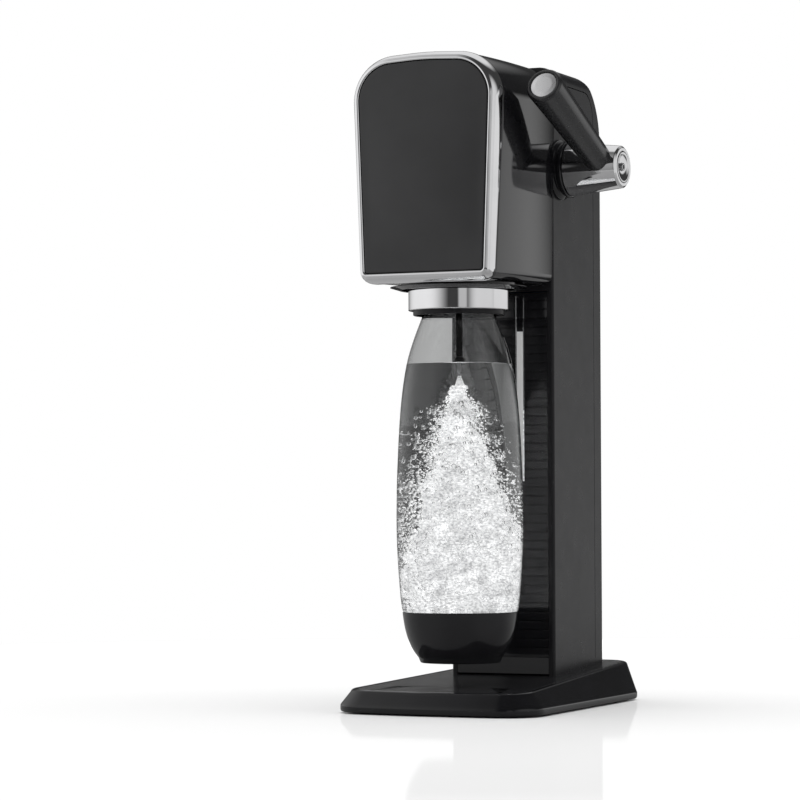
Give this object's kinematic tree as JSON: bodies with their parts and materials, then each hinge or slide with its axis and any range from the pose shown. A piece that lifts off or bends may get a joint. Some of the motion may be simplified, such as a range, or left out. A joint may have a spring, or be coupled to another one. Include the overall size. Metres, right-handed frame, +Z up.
{
  "type": "soda carbonator",
  "caption": "Free-standing soda carbonator with a wedge base, slim column, chrome-framed head, tilting bottle holder, clear bottle and a side lever that presses the gas valve.",
  "frame": {"origin": "centre of the bounding box in plan, at the level of the surface it stands on", "axes": "+Z up, -Y towards the front panel and the user, +X towards the lever"},
  "size_m": [0.1562, 0.2444, 0.4321],
  "materials": {
    "gloss_black": "glossy black moulded plastic",
    "satin_black": "satin black moulded plastic with a fine grain",
    "matt_black": "matt black moulded plastic",
    "chrome_trim": "polished chrome plating",
    "satin_metal": "satin aluminium",
    "steel": "plain steel",
    "brass": "machined brass",
    "rubber": "matt black rubber",
    "clear_plastic": "clear PET, thin walled",
    "cylinder_paint": "gloss blue paint on aluminium"
  },
  "bodies": {
    "machine": {"base_shell": "gloss_black", "base_plate": "satin_black", "base_bottom_cover": "matt_black", "foot_1": "rubber", "foot_2": "rubber", "foot_3": "rubber", "foot_4": "rubber", "base_screw_1": "steel", "base_screw_2": "steel", "base_screw_3": "steel", "base_screw_4": "steel", "column_housing": "satin_black", "column_front_wall": "satin_black", "head_shell": "gloss_black", "head_bezel": "chrome_trim", "head_front_panel": "satin_black", "opening_trim": "gloss_black", "holder_pin": "steel", "pivot_bracket_right": "steel", "pivot_bracket_left": "steel", "lever_collar": "gloss_black", "shaft_bush_right": "brass", "shaft_bush_left": "brass", "valve_block": "brass", "valve_spring": "steel", "relief_valve": "brass", "gas_cylinder": "cylinder_paint", "cylinder_valve": "brass", "cylinder_seat": "matt_black", "cylinder_connector": "steel", "connector_handle": "matt_black", "supply_hose": "matt_black", "feed_hose": "matt_black"},
    "lever": {"lever_hub": "chrome_trim", "lever_grip": "satin_black", "grip_end_disc": "satin_metal", "hub_end_cap": "chrome_trim", "hub_screw": "steel", "lever_shaft": "steel", "lever_cam": "steel", "shaft_clip": "steel"},
    "plunger": {"valve_plunger": "steel"},
    "holder": {"holder_ring": "chrome_trim", "holder_skirt": "matt_black", "holder_block": "matt_black", "bottle_gasket": "rubber", "carbonating_tube": "matt_black", "tube_tip": "matt_black", "jet_nozzle": "steel"},
    "bottle_body": {"bottle": "clear_plastic", "bottle_cup": "satin_black"},
    "cover": {"rear_cover": "satin_black"},
    "button": {"cover_button": "gloss_black"}
  },
  "joints": [
    {"name": "lever_turn", "type": "hinge", "parent": "machine", "child": "lever", "pos_m": [-0.006, 0.0142, 0.3627], "axis": [1, 0, 0], "range_deg": [0, 45], "stiffness_Nm_per_rad": 0.6, "springref_deg": -22.92},
    {"name": "plunger_slide", "type": "slide", "parent": "machine", "child": "plunger", "axis": [0, 0, -1], "range_m": [0, 0.0031], "deforming": ["valve_spring"]},
    {"name": "holder_tilt", "type": "hinge", "parent": "machine", "child": "holder", "pos_m": [-0.006, -0.0285, 0.293], "axis": [-1, 0, 0], "range_deg": [0, 10], "deforming": ["feed_hose"]},
    {"name": "bottle_drop", "type": "slide", "parent": "holder", "child": "bottle_body", "axis": [0, 0, -1], "range_m": [0, 0.012]},
    {"name": "cover_pull", "type": "slide", "parent": "machine", "child": "cover", "axis": [0, 1, 0], "range_m": [0, 0.06]},
    {"name": "button_press", "type": "slide", "parent": "cover", "child": "button", "axis": [0, -1, 0], "range_m": [0, 0.002], "stiffness_N_per_m": 400, "springref_m": -0.002}
  ],
  "couplings": [
    {"joint": "plunger_slide", "follows": "lever_turn", "m_per_rad": 0.00382}
  ]
}
